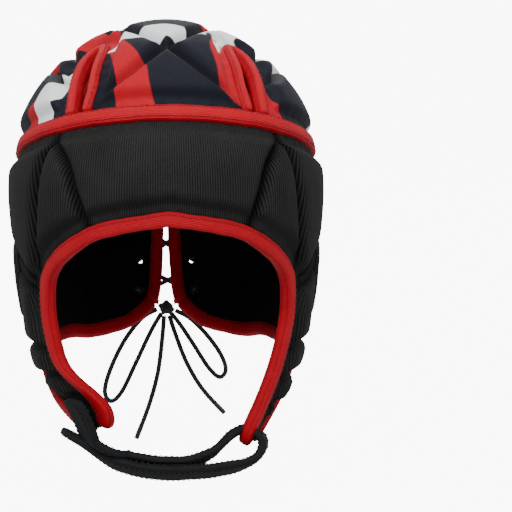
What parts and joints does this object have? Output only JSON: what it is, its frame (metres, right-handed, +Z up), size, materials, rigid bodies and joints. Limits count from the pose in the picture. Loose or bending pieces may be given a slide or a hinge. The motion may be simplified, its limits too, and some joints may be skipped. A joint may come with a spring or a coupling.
{
  "type": "rugby scrum cap",
  "caption": "Padded rugby scrum cap: ribbed soft crown, deep foam band with ear flaps, bound edges, back laces and a chin strap.",
  "frame": {"origin": "the point of the lining that sits on top of the head", "axes": "+Z up, the wearer looks along -Y, the wearer's left ear is at +X"},
  "size_m": [0.1798, 0.2267, 0.269],
  "materials": {
    "printed_fabric": "knitted cover fabric, dark navy with a red and white print",
    "black_foam": "moulded foam with a matt ribbed black cover",
    "red_tape": "ribbed elastic binding tape, bright red",
    "black_webbing": "black hook-and-loop webbing",
    "black_cord": "round braided black lace"
  },
  "bodies": {
    "root": {"crown": "printed_fabric", "band": "black_foam", "seam_binding": "red_tape", "front_vent_binding_left": "red_tape", "front_vent_binding_right": "red_tape", "rear_vent_binding_left": "red_tape", "rear_vent_binding_right": "red_tape", "slit_binding": "red_tape", "face_binding": "red_tape", "neck_binding_left": "red_tape", "neck_binding_right": "red_tape", "chin_strap": "black_webbing", "chin_strap_return": "black_webbing", "lace_left": "black_cord", "lace_right": "black_cord", "lace_knot": "black_cord", "lace_loop_left": "black_cord", "lace_loop_right": "black_cord", "lace_tail_left": "black_cord", "lace_tail_right": "black_cord"}
  },
  "joints": []
}
